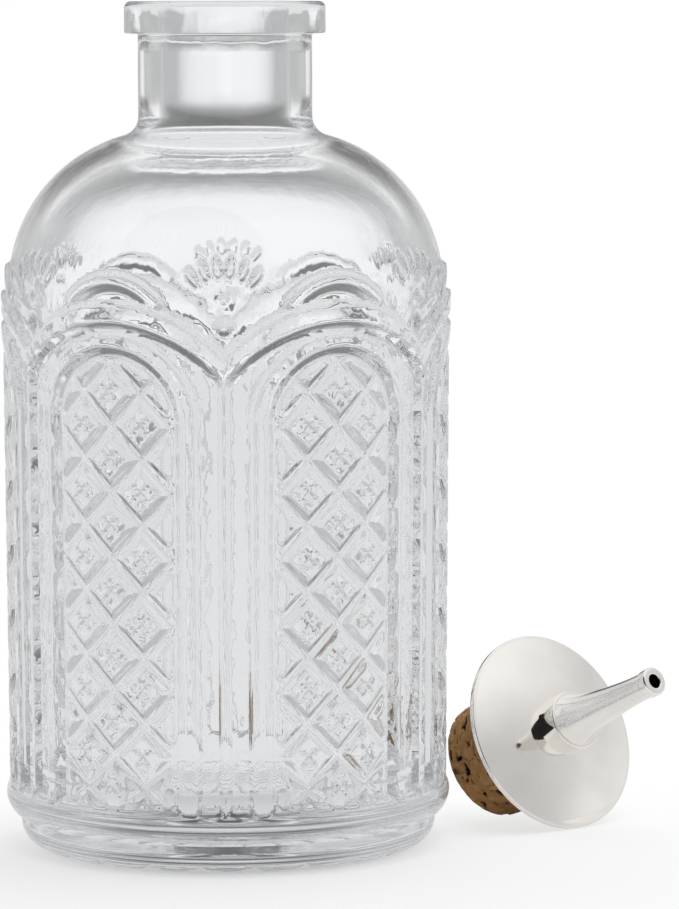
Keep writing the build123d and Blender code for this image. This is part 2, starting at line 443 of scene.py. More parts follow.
@dataclass(frozen=True)
class NaturalCork(Finish):
    """Cork bark: tan grains with darker seams, and pits whose floors are the cork's own darker colour
    deepened with painted shade.
    """

    name: str = "cork_bark"
    pale: Colour = (0.54, 0.31, 0.135, 1.0)
    tan: Colour = (0.4, 0.21, 0.078, 1.0)
    # Near black for the pit floors: the cork's darker pits plus painted shade
    hollow: Colour = (0.025, 0.01, 0.007, 1.0)
    seam: Colour = (0.085, 0.032, 0.014, 1.0)
    grain_scale: float = 700.0
    grain_detail: float = 4.0
    grain_reach: Reach = (0.3, 0.7)
    grain_depth: float = 0.12 * MM
    seam_scale: float = 330.0
    seam_width: float = 0.12
    seam_reach: Reach = (0.4, 0.7)
    seam_share: float = 0.7
    spot_scale: float = 260.0
    spot_detail: float = 3.0
    spot_reach: Reach = (0.6, 0.7)
    spot_share: float = 0.85
    pit_reach: Reach = (0.1, 0.6)
    roughness: float = 0.82
    shine: float = 0.1

    def fill(self, tree: Tree) -> None:
        """Add mottled bark with seams and dark spots, and the floor of its pits, darkened partly as painted
        shade.

        Args:
            tree: The material's tree.
        """
        where = tree.place()
        grain = tree.noise(where, self.grain_scale, self.grain_detail)
        cells = tree.value(
            "ShaderNodeTexVoronoi",
            "Distance",
            {"feature": "DISTANCE_TO_EDGE"},
            {"Vector": where, "Scale": self.seam_scale, "Randomness": 1.0},
        )
        spots = tree.noise(where, self.spot_scale, self.spot_detail).between(*self.spot_reach)
        seams = 1 - cells.between(0.0, self.seam_width)
        seams = seams * grain.between(*self.seam_reach) * self.seam_share
        bark = tree.blend(grain.between(*self.grain_reach), self.tan, self.pale)
        bark = tree.blend(seams, bark, self.seam)
        bark = tree.blend(spots * self.spot_share, bark, self.seam)
        # Pit floors darken with the pit's depth: the cork's own dark pits deepened by painted shade
        bark = tree.blend(tree.mark(Mark.PIT).between(*self.pit_reach), bark, self.hollow)
        cork = {
            "Base Color": bark,
            "Roughness": self.roughness,
            "Specular IOR Level": self.shine,
            "Normal": tree.bump(grain - seams - spots, self.grain_depth),
        }
        tree.principled(cork)


class Outline:
    """Section of a turned piece, as radius and height points from first to last."""

    def __init__(self, radius: float, height: float) -> None:
        """Start at a point."""
        self.points: list[Point] = [(radius, height)]

    def line(self, radius: float, height: float, steps: int = 1) -> "Outline":
        """Run straight to a point.

        Args:
            radius: Radius of the end.
            height: Height of the end.
            steps: Pieces that the run is cut into.

        Returns:
            The outline.
        """
        from_radius, from_height = self.points[-1]
        for step in range(1, steps + 1):
            share = step / steps
            out = from_radius + (radius - from_radius) * share
            up = from_height + (height - from_height) * share
            self.points.append((out, up))
        return self

    def arc(self, centre: Point, radius: float, start: float, end: float, steps: int) -> "Outline":
        """Run round an arc.

        Args:
            centre: Centre of the arc.
            radius: Radius of the arc.
            start: Angle of its start, in degrees from outwards.
            end: Angle of its end.
            steps: Pieces that the arc is cut into.

        Returns:
            The outline.
        """
        for step in range(steps + 1):
            angle = radians(start + (end - start) * step / steps)
            point = (centre[0] + radius * cos(angle), centre[1] + radius * sin(angle))
            if hypot(point[0] - self.points[-1][0], point[1] - self.points[-1][1]) > SAME_POINT:
                self.points.append(point)
        return self

    def swell(self, side: Point, far: Point, steps: int, inwards: bool) -> "Outline":
        """Run along the arc that stands upright at one point and passes another.

        Args:
            side: The point where the arc is upright, which is its widest.
            far: The arc's other end.
            steps: Pieces that the arc is cut into.
            inwards: Whether the run goes from the upright point to the far one.

        Returns:
            The outline.
        """
        across, up = side[0] - far[0], far[1] - side[1]
        radius = (across**2 + up**2) / (2 * across)
        centre = (side[0] - radius, side[1])
        far_angle = degrees(atan2(up, far[0] - centre[0]))
        ends = (0.0, far_angle) if inwards else (far_angle, 0.0)
        return self.arc(centre, radius, *ends, steps)


def turned(points: Sequence[Point], steps: int) -> bmesh.types.BMesh:
    """Turn a section about +Z.

    Args:
        points: Radius and height of each point.
        steps: Pieces round the turn.

    Returns:
        The shell, with its seam and poles merged.
    """
    shell = bmesh.new()
    corners = [shell.verts.new((radius, 0, height)) for radius, height in points]
    runs = [shell.edges.new(pair) for pair in zip(corners, corners[1:])]
    bmesh.ops.spin(
        shell,
        geom=corners + runs,
        cent=(0, 0, 0),
        axis=(0, 0, 1),
        dvec=(0, 0, 0),
        angle=tau,
        steps=steps,
        use_merge=True,
    )
    bmesh.ops.remove_doubles(shell, verts=shell.verts, dist=MERGE_REACH)
    return shell


def solid_ring(outline: Outline, steps: int) -> bmesh.types.BMesh:
    """Turn a closed section about +Z.

    Args:
        outline: The section, whose last point is joined to its first.
        steps: Pieces round the turn.

    Returns:
        The closed piece, facing outwards.
    """
    shell = turned(outline.points + outline.points[:1], steps)
    bmesh.ops.recalc_face_normals(shell, faces=shell.faces)
    return shell


def marked(shell: bmesh.types.BMesh, mark: Mark, share: Callable[[Vector], float]) -> bmesh.types.BMesh:
    """Give each point of a mesh a value that its finish can read.

    Args:
        shell: The mesh.
        mark: Which value it is.
        share: Gives the value, from 0 to 1 or over, for a place.

    Returns:
        The same mesh.
    """
    layer = shell.verts.layers.float.new(mark.value)
    for vert in shell.verts:
        vert[layer] = share(vert.co)
    return shell


def finished(
    shell: bmesh.types.BMesh,
    name: str,
    finish: Finish,
    crease: float = 180.0,
) -> bpy.types.Object:
    """Make an object of a mesh, with smooth faces and sharp creases.

    Args:
        shell: The mesh, which is freed.
        name: Name of the piece.
        finish: Its material.
        crease: Angle in degrees from which an edge stays sharp. At 180 every edge is smooth.

    Returns:
        The object.
    """
    for edge in shell.edges:
        edge.smooth = edge.calc_face_angle(0.0) < radians(crease)
    for face in shell.faces:
        face.smooth = True
    mesh = bpy.data.meshes.new(name)
    shell.to_mesh(mesh)
    shell.free()
    mesh.materials.append(finish.material())
    piece = bpy.data.objects.new(name, mesh)
    bpy.context.scene.collection.objects.link(piece)
    log.info("%s: %d faces", name, len(mesh.polygons))
    return piece


@dataclass
class GlassBottle:
    """The pressed bottle: star foot, heel ring, arched diamond panels, domed shoulder and lip."""

    # Body, neck, lip and hollow
    height: float = 115.9 * MM
    body_radius: float = 29.9 * MM
    body_draft: float = 0.5 * MM
    body_height: float = 76.8 * MM
    shoulder_radius: float = 21.6 * MM
    neck_radius: float = 11.95 * MM
    neck_fillet: float = 2.6 * MM
    lip_radius: float = 13.8 * MM
    lip_height: float = 4.4 * MM
    lip_rounding: float = 0.9 * MM
    lip_undercut: float = 0.4 * MM
    bore_radius: float = 9.0 * MM
    bore_rounding: float = 0.8 * MM
    bore_fillet: float = 10.0 * MM
    wall: float = 3.0 * MM
    floor_thickness: float = 6.5 * MM
    floor_corner: float = 9.0 * MM

    # Foot and heel
    standing_radius: float = 26.3 * MM
    foot_radius: float = 28.7 * MM
    foot_height: float = 3.2 * MM
    waist_height: float = 3.9 * MM
    heel_radius: float = 30.7 * MM
    heel_height: float = 7.1 * MM
    heel_top: float = 9.6 * MM
    star_rays: int = 24
    star_hub: float = 3.5 * MM
    star_rim_half_width: float = 1.7 * MM
    star_rim_depth: float = 0.9 * MM

    # Pressed pattern
    panels: int = 6
    panel_steps: int = 70
    spring: float = 60.7 * MM
    band_relief: float = 1.05 * MM
    inner_band_inside: float = 8.75 * MM
    inner_band_outside: float = 12.0 * MM
    outer_band_crown: float = 76.8 * MM
    outer_band_radius: float = 19.65 * MM
    outer_band_inner_crown: float = 72.7 * MM
    outer_band_inner_radius: float = 18.1 * MM
    under_wall: float = 1.25 * MM
    over_wall: float = 0.6 * MM
    ridge_half: float = 0.7 * MM
    ridge_top: float = 67.5 * MM
    crescent_relief: float = 0.65 * MM
    crescent_top: float = 80.4 * MM
    crescent_width: float = 2.6 * MM
    crescent_radius: float = 8.5 * MM
    crescent_half_angle: float = 50.0
    field_half: float = 8.6 * MM
    field_border: float = 0.3 * MM
    field_edge: float = 0.35 * MM
    field_wall: float = 0.6 * MM
    strap_relief: float = 0.14 * MM
    diamond_relief: float = 0.86 * MM
    diamond_half: float = 4.42 * MM
    diamond_steps: int = 10
    diamond_wall_share: float = 0.25
    cut_depth: float = 0.42 * MM
    cut_half_share: float = 0.1
    cut_length_share: float = 0.62
    node_height: float = 60.0 * MM
    petals: int = 6
    petal_half_length: float = 1.7 * MM
    petal_half_width: float = 0.625 * MM
    petal_relief: float = 0.45 * MM
    petal_crown: float = 0.55
    petal_step: float = 14.3
    fan_radius: float = 7.2 * MM
    fan_focus: float = 73.9 * MM
    small_bead: float = 0.7 * MM
    small_bead_height: float = 76.9 * MM
    large_bead: float = 1.3 * MM
    large_bead_height: float = 73.3 * MM
    bead_sink_share: float = 0.45

    # Fineness of the mesh
    foot_steps_per_ray: int = 8
    foot_rings: int = 9
    foot_round_steps: int = 8
    heel_steps: int = 7
    relief_dome_steps: int = 16
    relief_dome_gap: float = 2.0
    upper_steps: int = 140
    dome_steps: int = 20
    neck_steps: int = 4
    undercut_steps: int = 4
    rounding_steps: int = 8
    bore_steps: int = 6
    inner_dome_steps: int = 24
    inner_wall_steps: int = 10
    floor_corner_steps: int = 14
    floor_steps: int = 5
    crease: float = 48.0

    # Where the glass is wavy or hazy
    dome_wave_share: float = 0.12
    calm_height: float = 9.0 * MM
    rough_mouth: float = 110.0 * MM
    mouth_wave_share: float = 1.4
    haze_foot: float = 2.0 * MM
    haze_top: float = 9.0 * MM
    haze_fade: float = 1.5 * MM

    @property
    def shoulder_centre(self) -> float:
        """Radius at which the shoulder's arc is centred."""
        return self.body_radius - self.shoulder_radius

    @property
    def row(self) -> float:
        """Height of one row of the pressed pattern's mesh."""
        return self.diamond_half / self.diamond_steps

    @property
    def relief_dome_angle(self) -> float:
        """Angle round the shoulder's arc, in degrees, where the pattern's fine mesh ends."""
        return degrees(self.row * self.relief_dome_steps / self.shoulder_radius)

    def ground(self, height: float | np.ndarray) -> float | np.ndarray:
        """Radius of the drafted wall without its pattern."""
        share = (self.body_height - height) / (self.body_height - self.heel_top)
        return self.body_radius - self.body_draft * share

    def root(self, upright: float, dome: float, fillet: float) -> tuple[Point, float]:
        """Place the fillet between an upright wall and the shoulder's dome.

        Args:
            upright: Radius of the wall.
            dome: Radius of the dome's arc.
            fillet: Radius of the fillet.

        Returns:
            The fillet's centre, and its sweep in degrees.
        """
        run = upright + fillet - self.shoulder_centre
        rise = sqrt((dome + fillet) ** 2 - run**2)
        return (upright + fillet, self.body_height + rise), degrees(atan2(rise, run))

    def moulding(self, past_under: np.ndarray, past_over: np.ndarray, relief: float) -> np.ndarray:
        """Flat-topped band with a rounded wall along each edge.

        The lower wall is part of a cubic curve and the upper one part of a parabola.

        Args:
            past_under: Distance into the band from its lower or inner edge.
            past_over: Distance into the band from its upper or outer edge.
            relief: Height of the band.

        Returns:
            Height over the ground.
        """
        under = np.clip(past_under / self.under_wall, 0, 1)
        over = np.clip(past_over / self.over_wall, 0, 1)
        return relief * under * (1.5 - 0.5 * under**2) * over * (2 - over)

    def lattice(self, arc: np.ndarray, height: np.ndarray, reach: np.ndarray) -> np.ndarray:
        """Diamonds between low straps, each cut crosswise into four studs.

        Args:
            arc: Way round the body from the panel's middle line, in diamond halves.
            height: Way up from the topmost node, in diamond halves.
            reach: Distance from the panel's middle line or its head's centre.

        Returns:
            Height over the ground.
        """
        first = arc + height
        second = arc - height
        first = np.abs(first - 2 * np.floor(first / 2) - 1)
        second = np.abs(second - 2 * np.floor(second / 2) - 1)
        strap = 1 - 1 / self.diamond_steps
        inside = np.clip((strap - np.maximum(first, second)) / self.diamond_wall_share, 0, 1)
        inside = inside * np.clip((self.field_half - self.field_border - reach) / self.field_wall, 0, 1)
        along = np.clip(1 - np.maximum(first, second) / self.cut_length_share, 0, 1)
        beside = np.clip(1 - np.minimum(first, second) / self.cut_half_share, 0, 1)
        cut = self.cut_depth * beside * np.sqrt(along)
        relief = self.strap_relief + (self.diamond_relief - self.strap_relief) * inside - cut * inside
        fall = np.clip((self.field_half + self.field_edge - reach) / self.field_edge, 0, 1)
        return relief * fall

    def fan(self, across: np.ndarray, height: np.ndarray) -> np.ndarray:
        """Petals that radiate over a column.

        Args:
            across: Distance from the column's middle line.
            height: Height.

        Returns:
            Height over the ground.
        """
        reach = np.hypot(across, height - self.fan_focus)
        lean = np.degrees(np.arctan2(across, height - self.fan_focus))
        middle = (self.petals - 1) / 2
        nearest = np.clip(np.round(lean / self.petal_step + middle), 0, self.petals - 1)
        aside = np.radians(lean - (nearest - middle) * self.petal_step)
        along = (reach * np.cos(aside) - self.fan_radius) / self.petal_half_length
        beside = reach * np.sin(aside) / self.petal_half_width
        return self.petal_relief * np.clip(1 - along**2 - beside**2, 0, 1) ** self.petal_crown

    def bead(self, across: np.ndarray, height: np.ndarray, radius: float, centre: float) -> np.ndarray:
        """Round bead, sunk into the wall.

        Args:
            across: Distance from the column's middle line.
            height: Height.
            radius: The bead's radius.
            centre: Height of its centre.

        Returns:
            Height over the ground.
        """
        away = across**2 + (height - centre) ** 2
        return np.sqrt(np.maximum(radius**2 - away, 0)) - radius * self.bead_sink_share

    def relief(self, turn: np.ndarray, height: np.ndarray) -> np.ndarray:
        """Height of the pressed pattern over the plain body.

        Args:
            turn: Angle round the bottle.
            height: Height.

        Returns:
            Height over the ground, at least 0.
        """
        panel = tau / self.panels
        from_arch = (turn + panel / 2) % panel - panel / 2
        from_column = turn % panel - panel / 2
        across = self.body_radius * np.sin(from_arch)
        aside = self.body_radius * np.sin(from_column)
        reach = np.where(height > self.spring, np.hypot(across, height - self.spring), np.abs(across))
        arc = from_arch / panel * self.panel_steps / self.diamond_steps
        up = (height - self.node_height) / self.diamond_half
        over_centre = self.outer_band_crown - self.outer_band_radius
        under_centre = self.outer_band_inner_crown - self.outer_band_inner_radius
        past_over = self.outer_band_radius - np.hypot(across, height - over_centre)
        past_under = np.hypot(across, height - under_centre) - self.outer_band_inner_radius
        past_under = np.where(height > under_centre, past_under, 0)
        layers = [
            self.moulding(reach - self.inner_band_inside, self.inner_band_outside - reach, self.band_relief),
            self.moulding(past_under, past_over, self.band_relief),
            self.lattice(arc, up, reach),
            self.crescent(across, height),
            self.ridge(aside) * (height < self.ridge_top),
            self.fan(aside, height),
            self.bead(aside, height, self.small_bead, self.small_bead_height),
            self.bead(aside, height, self.large_bead, self.large_bead_height),
        ]
        return np.maximum(np.maximum.reduce(layers), 0)

    def crescent(self, across: np.ndarray, height: np.ndarray) -> np.ndarray:
        """Crescent over an arch.

        Args:
            across: Distance from the panel's middle line.
            height: Height.

        Returns:
            Height over the ground.
        """
        half = self.crescent_width / 2
        centre = self.crescent_top - half - self.crescent_radius
        lean = np.arctan2(np.abs(across), height - centre)
        reach = np.hypot(across, height - centre) - self.crescent_radius
        end = radians(self.crescent_half_angle)
        end_across = np.abs(across) - self.crescent_radius * sin(end)
        end_height = height - centre - self.crescent_radius * cos(end)
        past_tip = half - np.hypot(end_across, end_height)
        on_arc = lean < end
        past_under = np.where(on_arc, reach + half, past_tip)
        past_over = np.where(on_arc, half - reach, past_tip)
        return self.moulding(past_under, past_over, self.crescent_relief)

    def ridge(self, aside: np.ndarray) -> np.ndarray:
        """Narrow ridge down a column.

        Args:
            aside: Distance from the column's middle line.

        Returns:
            Height over the ground.
        """
        share = np.clip(np.abs(aside) / self.ridge_half, 0, 1)
        return self.band_relief * (1 - share**3)

    def foot(self) -> bmesh.types.BMesh:
        """Underside and foot, with the star's grooves."""
        outline = Outline(0, 0)
        outline.line(self.star_hub, 0)
        outline.line(self.standing_radius, 0, self.foot_rings)
        top = (self.foot_radius, self.foot_height)
        outline.swell(top, (self.standing_radius, 0), self.foot_round_steps, False)
        shell = turned(outline.points, self.star_rays * self.foot_steps_per_ray)
        pitch = tau / self.star_rays
        # Half of a ray's steps lie in its groove, a quarter on each side of the middle
        groove_steps = self.foot_steps_per_ray / 4
        edge = self.star_rim_half_width / self.foot_radius
        for vert in shell.verts:
            radius = hypot(vert.co.x, vert.co.y)
            if radius < self.star_hub / 2:
                continue
            share = (radius - self.star_hub) / (self.foot_radius - self.star_hub)
            width = self.star_rim_half_width * share
            turn = atan2(vert.co.y, vert.co.x)
            ray = round(turn / pitch - 0.5) + 0.5
            step = (turn / pitch - ray) * self.foot_steps_per_ray
            if abs(step) <= groove_steps:
                aside = step / groove_steps * edge
            else:
                past = (abs(step) - groove_steps) / groove_steps
                aside = (edge + (pitch / 2 - edge) * past) * (1 if step > 0 else -1)
            angle = ray * pitch + aside
            vert.co.x = radius * cos(angle)
            vert.co.y = radius * sin(angle)
            if width > 0:
                depth = self.star_rim_depth * share * (1 - abs(radius * sin(aside)) / width)
                vert.co.z = max(vert.co.z, depth)
        return shell

    def pressed_wall(self) -> bmesh.types.BMesh:
        """Heel ring, wall and lower shoulder, with the pressed pattern."""
        outline = Outline(self.foot_radius, self.waist_height)
        heel = (self.heel_radius, self.heel_height)
        outline.swell(heel, (self.foot_radius, self.waist_height), self.heel_steps, False)
        outline.swell(heel, (self.ground(self.heel_top), self.heel_top), self.heel_steps, True)
        lowest = round((self.heel_top - self.node_height) / self.row) + 1
        highest = round((self.body_height - self.node_height) / self.row)
        for step in range(lowest, highest):
            height = self.node_height + step * self.row
            outline.points.append((self.ground(height), height))
        centre = (self.shoulder_centre, self.body_height)
        outline.arc(centre, self.shoulder_radius, 0, self.relief_dome_angle, self.relief_dome_steps)
        shell = turned(outline.points, self.panels * self.panel_steps)
        self.press(shell)
        bmesh.ops.triangulate(shell, faces=shell.faces, quad_method="SHORT_EDGE", ngon_method="BEAUTY")
        return shell

    def press(self, shell: bmesh.types.BMesh) -> None:
        """Push a plain wall out to the pressed pattern.

        Args:
            shell: The wall, whose points are moved.
        """
        places = np.array([vert.co for vert in shell.verts])
        radius = np.hypot(places[:, 0], places[:, 1])
        turn = np.arctan2(places[:, 1], places[:, 0])
        height = places[:, 2]
        relief = self.relief(turn, height)
        rise = np.clip((height - self.body_height) / self.shoulder_radius, 0, 1)
        run = np.sqrt(1 - rise**2)
        base = np.where(height < self.body_height, self.ground(height), radius)
        pressed = base + relief * run
        on_pattern = height > self.heel_height + ROUNDING
        wider = np.where(on_pattern, np.maximum(pressed, radius), radius)
        lifted = height + relief * rise
        for vert, out, up, angle in zip(shell.verts, wider, lifted, turn):
            vert.co = (out * cos(angle), out * sin(angle), up)

    def upper(self) -> bmesh.types.BMesh:
        """Shoulder above the pattern, neck, lip, bore and the whole inside."""
        dome = (self.shoulder_centre, self.body_height)
        neck_centre, neck_sweep = self.root(self.neck_radius, self.shoulder_radius, self.neck_fillet)
        inner_dome = self.shoulder_radius - self.wall
        bore_centre, bore_sweep = self.root(self.bore_radius, inner_dome, self.bore_fillet)
        start = self.relief_dome_angle + self.relief_dome_gap
        first = radians(start)
        outline = Outline(
            dome[0] + self.shoulder_radius * cos(first),
            dome[1] + self.shoulder_radius * sin(first),
        )
        outline.arc(dome, self.shoulder_radius, start, neck_sweep, self.dome_steps)
        outline.arc(neck_centre, self.neck_fillet, 180 + neck_sweep, 180, self.rounding_steps)
        undercut, half_cut = self.lip_undercut, self.lip_undercut / 2
        under = self.height - self.lip_height
        outline.line(self.neck_radius, under - undercut, self.neck_steps)
        outline.arc((self.neck_radius + undercut, under - undercut), undercut, 180, 90, self.undercut_steps)
        outline.arc((self.lip_radius - half_cut, under + half_cut), half_cut, -90, 0, self.undercut_steps)
        rim = (self.lip_radius - self.lip_rounding, self.height - self.lip_rounding)
        outline.arc(rim, self.lip_rounding, 0, 90, self.rounding_steps)
        mouth = (self.bore_radius + self.bore_rounding, self.height - self.bore_rounding)
        outline.arc(mouth, self.bore_rounding, 90, 180, self.rounding_steps)
        outline.line(self.bore_radius, bore_centre[1], self.bore_steps)
        outline.arc(bore_centre, self.bore_fillet, 180, 180 + bore_sweep, self.rounding_steps)
        outline.arc(dome, inner_dome, bore_sweep, 0, self.inner_dome_steps)
        corner_radius = self.ground(self.floor_thickness) - self.wall
        corner = (corner_radius - self.floor_corner, self.floor_thickness + self.floor_corner)
        outline.line(corner_radius, corner[1], self.inner_wall_steps)
        outline.arc(corner, self.floor_corner, 0, -90, self.floor_corner_steps)
        outline.line(0, self.floor_thickness, self.floor_steps)
        return turned(outline.points, self.upper_steps)

    def haze_at(self, place: Vector) -> float:
        """How hazy the glass is at a place.

        Args:
            place: A point of the bottle's mesh.

        Returns:
            1 round the heel and 0 elsewhere, with a soft change.
        """
        if hypot(place.x, place.y) <= self.standing_radius:
            return 0.0
        past_foot = (place.z - self.haze_foot) / self.haze_fade
        past_top = (self.haze_top - place.z) / self.haze_fade
        return held(min(past_foot, past_top))

    def wave_at(self, place: Vector) -> float:
        """How wavy the glass is at a place.

        Args:
            place: A point of the bottle's mesh.

        Returns:
            0 on the outside and 1 in the body's hollow, less under the dome and more in the mouth.
        """
        radius, height = hypot(place.x, place.y), place.z
        half_wall = self.wall / 2
        if height < self.body_height:
            hollow = radius < self.ground(height) - half_wall and height > self.floor_thickness / 2
        else:
            reach = hypot(radius - self.shoulder_centre, height - self.body_height)
            in_neck = radius < (self.bore_radius + self.neck_radius) / 2
            hollow = reach < self.shoulder_radius - half_wall or in_neck
        if not hollow:
            return 0.0
        if height > self.rough_mouth:
            return self.mouth_wave_share
        calm = held((height - self.body_height) / self.calm_height)
        return 1 - calm * (1 - self.dome_wave_share)

    def build(self) -> None:
        """Join the bottle's three zones into one closed piece of glass."""
        whole = bmesh.new()
        for zone in (self.foot(), self.pressed_wall(), self.upper()):
            mesh = bpy.data.meshes.new("zone")
            zone.to_mesh(mesh)
            zone.free()
            whole.from_mesh(mesh)
            bpy.data.meshes.remove(mesh)
        open_edges = [edge for edge in whole.edges if edge.is_boundary]
        for low in (True, False):
            pair = [edge for edge in open_edges if (edge.verts[0].co.z < self.heel_top) == low]
            bmesh.ops.bridge_loops(whole, edges=pair)
        bmesh.ops.recalc_face_normals(whole, faces=whole.faces)
        marked(whole, Mark.INSIDE, self.wave_at)
        marked(whole, Mark.HAZE, self.haze_at)
        piece = finished(whole, "glass_bottle", PressedGlass(), self.crease)
        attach(piece, Body.BOTTLE.value)
        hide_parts("bottle")


@dataclass
class Dasher:
    """The top that stops the bottle: cork, cap disc, stem tube and pouring spout on one line."""

    # Cork, disc and stem
    cork_length: float = 14.4 * MM
    cork_top_radius: float = 9.0 * MM
    cork_end_radius: float = 8.35 * MM
    cork_chamfer: float = 0.4 * MM
    disc_radius: float = 14.15 * MM
    disc_thickness: float = 0.8 * MM
    disc_dome: float = 2.5 * MM
    disc_rounding: float = 0.2 * MM
    disc_edge_turn: float = 80.0
    stem_radius: float = 2.0 * MM
    stem_bore: float = 1.4 * MM
    stem_projection: float = 0.8 * MM
    stem_engagement: float = 2.6 * MM
    stem_bevel: float = 0.08 * MM
    stem_rim_angle: float = radians(60)
    clearance: float = 0.02 * MM

    # Pouring spout, with its places as radius and height over the skirt's foot
    skirt_radius: float = 4.2 * MM
    skirt_height: float = 3.1 * MM
    skirt_rounding: float = 0.2 * MM
    spout_root: float = 3.8 * MM
    spout_bell: Point = (3.0 * MM, 5.8 * MM)
    spout_waist: Point = (2.3 * MM, 10.3 * MM)
    spout_throat: Point = (1.87 * MM, 15.5 * MM)
    spout_tip: Point = (2.0 * MM, 20.4 * MM)
    spout_ring: float = 1.5 * MM
    spout_rounding: float = 0.3 * MM
    spout_bore: float = 1.0 * MM

    # Bark pits, with scales in waves to the millimetre
    pit_depth: float = 0.7 * MM
    pit_scale: float = 0.55
    pit_detail_scale: float = 1.3
    pit_detail_share: float = 0.5
    pit_shortness: float = 1.8
    pit_start: float = 0.34
    pit_steepness: float = 8.0
    pit_clear_bores: float = 1.5
    bark_scale: float = 1.1
    bark_depth: float = 0.12 * MM

    # Fineness of the meshes
    disc_steps: int = 192
    disc_top_steps: int = 30
    disc_under_steps: int = 20
    disc_edge_steps: int = 6
    spout_steps: int = 128
    seat_steps: int = 3
    skirt_edge_steps: int = 5
    nozzle_steps: int = 28
    ledge_steps: int = 4
    tip_steps: int = 6
    stem_steps: int = 64
    cork_steps: int = 288
    cork_end_rings: int = 10
    cork_chamfer_rings: int = 2
    cork_side_rings: int = 70
    cork_top_rings: int = 4
    crease: float = 40.0

    @property
    def crown_radius(self) -> float:
        """Radius of the disc's underside."""
        return (self.disc_radius**2 + self.disc_dome**2) / (2 * self.disc_dome)

    def under(self, radius: float) -> float:
        """Height of the disc's underside over its rim."""
        return sqrt(self.crown_radius**2 - radius**2) - self.crown_radius + self.disc_dome

    def over(self, radius: float) -> float:
        """Height of the disc's top face over its rim."""
        outer = self.crown_radius + self.disc_thickness
        return sqrt(outer**2 - radius**2) - self.crown_radius + self.disc_dome

    def placement(self) -> Matrix:
        """Where the dasher lies: its rim plane's centre, with its spout along local Z."""
        mount = next(m for m in frame["record"]["mounts"] if m["name"] == "cork_plug")
        axis = -Vector(mount["axis"]).normalized()
        cork_end = Vector(mount["pos_m"])
        origin = cork_end + axis * (self.cork_length - self.under(self.cork_top_radius))
        turn = axis.to_track_quat("Z", "Y").to_matrix().to_4x4()
        return Matrix.Translation(origin) @ turn

    def put(self, shell: bmesh.types.BMesh, name: str, node: str, finish: Finish) -> None:
        """Lay a piece of the dasher in its place.

        Args:
            shell: Its mesh, standing upright on the rim plane.
            name: Its name.
            node: The CAD node that it replaces.
            finish: Its material.
        """
        bmesh.ops.transform(shell, matrix=self.placement(), verts=shell.verts)
        piece = finished(shell, name, finish, self.crease)
        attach(piece, Body.DASHER.value)
        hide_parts(node)

    def cap_disc(self) -> bmesh.types.BMesh:
        """Thin domed disc with rolled edges and a hole for the stem."""
        hole = self.stem_radius + self.clearance
        rounding = self.disc_rounding
        edge = self.disc_radius - rounding
        crown = (0.0, self.disc_dome - self.crown_radius)
        top_start = degrees(atan2(self.over(hole) - crown[1], hole))
        top_end = degrees(atan2(self.over(edge) - crown[1], edge))
        under_start = degrees(atan2(self.under(edge) - crown[1], edge))
        under_end = degrees(atan2(self.under(hole) - crown[1], hole))
        turn, steps = self.disc_edge_turn, self.disc_edge_steps
        outline = Outline(hole, self.over(hole))
        outline.arc(crown, self.crown_radius + self.disc_thickness, top_start, top_end, self.disc_top_steps)
        outline.arc((edge, self.over(edge) - rounding), rounding, turn, 0, steps)
        outline.arc((edge, self.under(edge) + rounding), rounding, 0, -turn, steps)
        outline.arc(crown, self.crown_radius, under_start, under_end, self.disc_under_steps)
        return solid_ring(outline, self.disc_steps)

    def pour_spout(self) -> bmesh.types.BMesh:
        """Skirt and tapering nozzle with a rounded tip."""
        seat = self.over(self.skirt_radius)
        socket = self.stem_radius + self.clearance
        top = seat + self.skirt_height
        tip = seat + self.spout_tip[1]
        outline = Outline(socket, self.over(socket))
        outline.line(self.skirt_radius, seat, self.seat_steps)
        rounding = self.skirt_rounding
        corner = (self.skirt_radius - rounding, top - rounding)
        outline.arc(corner, rounding, 0, 90, self.skirt_edge_steps)
        outline.line(self.spout_root, top)
        for radius, height in self.nozzle():
            outline.line(radius, seat + height)
        ledge = self.spout_tip[0] - self.spout_throat[0]
        ring = (self.spout_throat[0], tip - self.spout_ring + ledge)
        outline.arc(ring, ledge, -90, 0, self.ledge_steps)
        rounding = self.spout_rounding
        outline.arc((self.spout_tip[0] - rounding, tip - rounding), rounding, 0, 90, self.tip_steps)
        half = rounding / 2
        outline.arc((self.spout_bore + half, tip - half), half, 90, 180, self.ledge_steps)
        outline.line(self.spout_bore, tip - rounding * 2)
        outline.line(self.spout_bore, seat + self.stem_engagement)
        outline.line(socket, seat + self.stem_engagement)
        return self.with_painted_bore_shade(solid_ring(outline, self.spout_steps), self.spout_bore, tip - rounding)

    @staticmethod
    def with_painted_bore_shade(shell: bmesh.types.BMesh, radius: float, top: float) -> bmesh.types.BMesh:
        """Mark the points of a bore's wall, which gets painted shade.

        Args:
            shell: The piece.
            radius: Radius of the bore.
            top: Height over which the painted shade stops.

        Returns:
            The same piece.
        """
        reach = radius + SAME_POINT

        def bore_shade_share(place: Vector) -> float:
            """1 on the bore's wall, where shade is painted, and 0 elsewhere."""
            return float(hypot(place.x, place.y) < reach and place.z < top)

        return marked(shell, Mark.BORE_SHADE, bore_shade_share)

    def nozzle(self) -> list[Point]:
        """Points of the nozzle's side: one smooth curve through its named widths."""
        knots = [
            (self.spout_root, self.skirt_height),
            self.spout_bell,
            self.spout_waist,
            self.spout_throat,
            (self.spout_throat[0], self.spout_tip[1] - self.spout_ring),
        ]
        heights = [height for _, height in knots]
        radii = [radius for radius, _ in knots]
        curve = np.polyfit(heights, radii, len(knots) - 1)
        made = []
        for step in range(1, self.nozzle_steps + 1):
            height = heights[0] + (heights[-1] - heights[0]) * step / self.nozzle_steps
            made.append((float(np.polyval(curve, height)), height))
        return made

